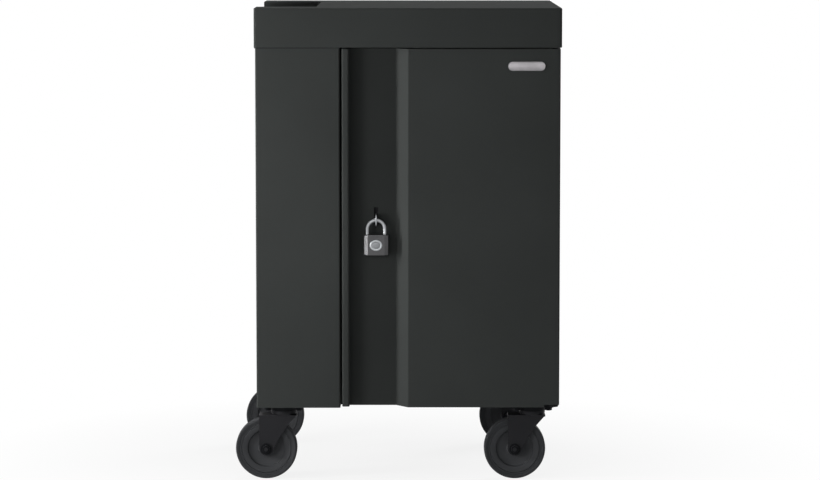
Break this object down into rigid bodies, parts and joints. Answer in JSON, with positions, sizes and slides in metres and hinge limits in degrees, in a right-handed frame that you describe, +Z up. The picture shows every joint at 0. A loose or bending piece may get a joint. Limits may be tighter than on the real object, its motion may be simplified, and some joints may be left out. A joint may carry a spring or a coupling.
{
  "type": "laptop charging cart",
  "caption": "Steel charging cart for laptops on swivel casters, with a top cap with a hand well, a padlocked front door beside a fixed panel and a rear door to the power bay.",
  "frame": {"origin": "on the floor under the middle of the whole outline, casters trailing to the left", "axes": "+Z up, -Y the front with the padlocked door, +X right as seen from the front"},
  "size_m": [0.6694, 0.57, 0.975],
  "materials": {
    "charcoal_paint": "fine textured powder coat",
    "inner_paint": "powder coat",
    "zinc_plate": "zinc plated",
    "black_coat": "black electrocoat",
    "bearing_steel": "black oxide",
    "tyre_rubber": "matt grey rubber",
    "wheel_plastic": "moulded",
    "black_plastic": "moulded",
    "chrome": "polished",
    "lock_steel": "satin",
    "brass": "turned"
  },
  "bodies": {
    "cabinet": {"top_cap": "charcoal_paint", "left_shell": "charcoal_paint", "right_side_panel": "charcoal_paint", "base_pan": "inner_paint", "inner_deck": "inner_paint", "bay_partition": "inner_paint", "bulkhead": "inner_paint", "middle_shelf": "inner_paint", "lower_slot_rack": "black_plastic", "upper_slot_rack": "black_plastic", "door_bracket_lower": "black_coat", "door_pin_lower": "bearing_steel", "door_bracket_upper": "black_coat", "door_pin_upper": "bearing_steel", "keeper_lower": "zinc_plate", "keeper_upper": "zinc_plate", "rear_sill": "charcoal_paint", "power_inlet": "black_plastic", "switch_bezel": "black_plastic", "rear_bracket": "black_coat", "rear_pin_upper": "bearing_steel", "rear_pin_lower": "bearing_steel", "adapter_tray_lower": "inner_paint", "adapter_tray_upper": "inner_paint", "outlet_strip_lower": "black_plastic", "outlet_strip_upper": "black_plastic", "power_module": "black_coat", "caster_plate_fl": "bearing_steel", "caster_plate_fr": "bearing_steel", "caster_plate_rl": "bearing_steel", "caster_plate_rr": "bearing_steel"},
    "front_door": {"front_door": "charcoal_paint", "door_stiffener": "inner_paint", "bar_guide_lower": "black_plastic", "bar_guide_upper": "black_plastic"},
    "lock_bar": {"lock_bar": "black_coat", "lock_tab": "zinc_plate"},
    "shackle": {"padlock_shackle": "chrome"},
    "padlock": {"padlock_body": "lock_steel"},
    "padlock_key_plug": {"padlock_plug": "brass"},
    "rear_door": {"rear_door": "charcoal_paint", "rear_lock_barrel": "chrome"},
    "rear_lock": {"rear_lock_cam": "chrome"},
    "power_switch": {"switch_rocker": "black_plastic"},
    "swivel_fl": {"caster_fork_fl": "black_coat", "caster_axle_fl": "black_coat"},
    "wheel_fl": {"wheel_core_fl": "wheel_plastic", "wheel_tyre_fl": "tyre_rubber"},
    "swivel_fr": {"caster_fork_fr": "black_coat", "caster_axle_fr": "black_coat"},
    "wheel_fr": {"wheel_core_fr": "wheel_plastic", "wheel_tyre_fr": "tyre_rubber"},
    "swivel_rl": {"caster_fork_rl": "black_coat", "caster_axle_rl": "black_coat"},
    "wheel_rl": {"wheel_core_rl": "wheel_plastic", "wheel_tyre_rl": "tyre_rubber"},
    "swivel_rr": {"caster_fork_rr": "black_coat", "caster_axle_rr": "black_coat"},
    "wheel_rr": {"wheel_core_rr": "wheel_plastic", "wheel_tyre_rr": "tyre_rubber"}
  },
  "joints": [
    {"name": "front_door_swing", "type": "hinge", "parent": "cabinet", "child": "front_door", "pos_m": [0.32125, -0.2715, 0.4475], "axis": [0, 0, 1], "range_deg": [0, 175]},
    {"name": "lock_bar_lift", "type": "slide", "parent": "front_door", "child": "lock_bar", "axis": [0, 0, 1], "range_m": [0, 0.012]},
    {"name": "padlock_swing", "type": "hinge", "parent": "lock_bar", "child": "shackle", "pos_m": [-0.04345, -0.265, 0.54102], "axis": [-1, 0, 0], "range_deg": [-2, 75]},
    {"name": "padlock_drop", "type": "slide", "parent": "shackle", "child": "padlock", "axis": [0, 0, -1], "range_m": [0, 0.012]},
    {"name": "padlock_key_turn", "type": "hinge", "parent": "padlock", "child": "padlock_key_plug", "pos_m": [-0.04345, -0.265, 0.46902], "axis": [0, 0, 1], "range_deg": [0, 90]},
    {"name": "rear_door_swing", "type": "hinge", "parent": "cabinet", "child": "rear_door", "pos_m": [-0.27775, 0.2715, 0.4475], "axis": [0, 0, 1], "range_deg": [0, 175]},
    {"name": "rear_lock_turn", "type": "hinge", "parent": "rear_door", "child": "rear_lock", "pos_m": [0.29525, 0.2825, 0.5725], "axis": [0, -1, 0], "range_deg": [0, 90]},
    {"name": "power_switch_rock", "type": "hinge", "parent": "cabinet", "child": "power_switch", "pos_m": [-0.08775, 0.2812, 0.203], "axis": [0, 0, 1], "range_deg": [-16, 0]},
    {"name": "caster_swivel_fl", "type": "hinge", "parent": "cabinet", "child": "swivel_fl", "pos_m": [-0.23525, -0.217, 0.0635], "axis": [0, 0, 1], "continuous": true},
    {"name": "wheel_roll_fl", "type": "hinge", "parent": "swivel_fl", "child": "wheel_fl", "pos_m": [-0.27125, -0.217, 0.0635], "axis": [0, 1, 0], "continuous": true},
    {"name": "caster_swivel_fr", "type": "hinge", "parent": "cabinet", "child": "swivel_fr", "pos_m": [0.27875, -0.217, 0.0635], "axis": [0, 0, 1], "continuous": true},
    {"name": "wheel_roll_fr", "type": "hinge", "parent": "swivel_fr", "child": "wheel_fr", "pos_m": [0.24275, -0.217, 0.0635], "axis": [0, 1, 0], "continuous": true},
    {"name": "caster_swivel_rl", "type": "hinge", "parent": "cabinet", "child": "swivel_rl", "pos_m": [-0.23525, 0.217, 0.0635], "axis": [0, 0, 1], "continuous": true},
    {"name": "wheel_roll_rl", "type": "hinge", "parent": "swivel_rl", "child": "wheel_rl", "pos_m": [-0.27125, 0.217, 0.0635], "axis": [0, 1, 0], "continuous": true},
    {"name": "caster_swivel_rr", "type": "hinge", "parent": "cabinet", "child": "swivel_rr", "pos_m": [0.27875, 0.217, 0.0635], "axis": [0, 0, 1], "continuous": true},
    {"name": "wheel_roll_rr", "type": "hinge", "parent": "swivel_rr", "child": "wheel_rr", "pos_m": [0.24275, 0.217, 0.0635], "axis": [0, 1, 0], "continuous": true}
  ]
}
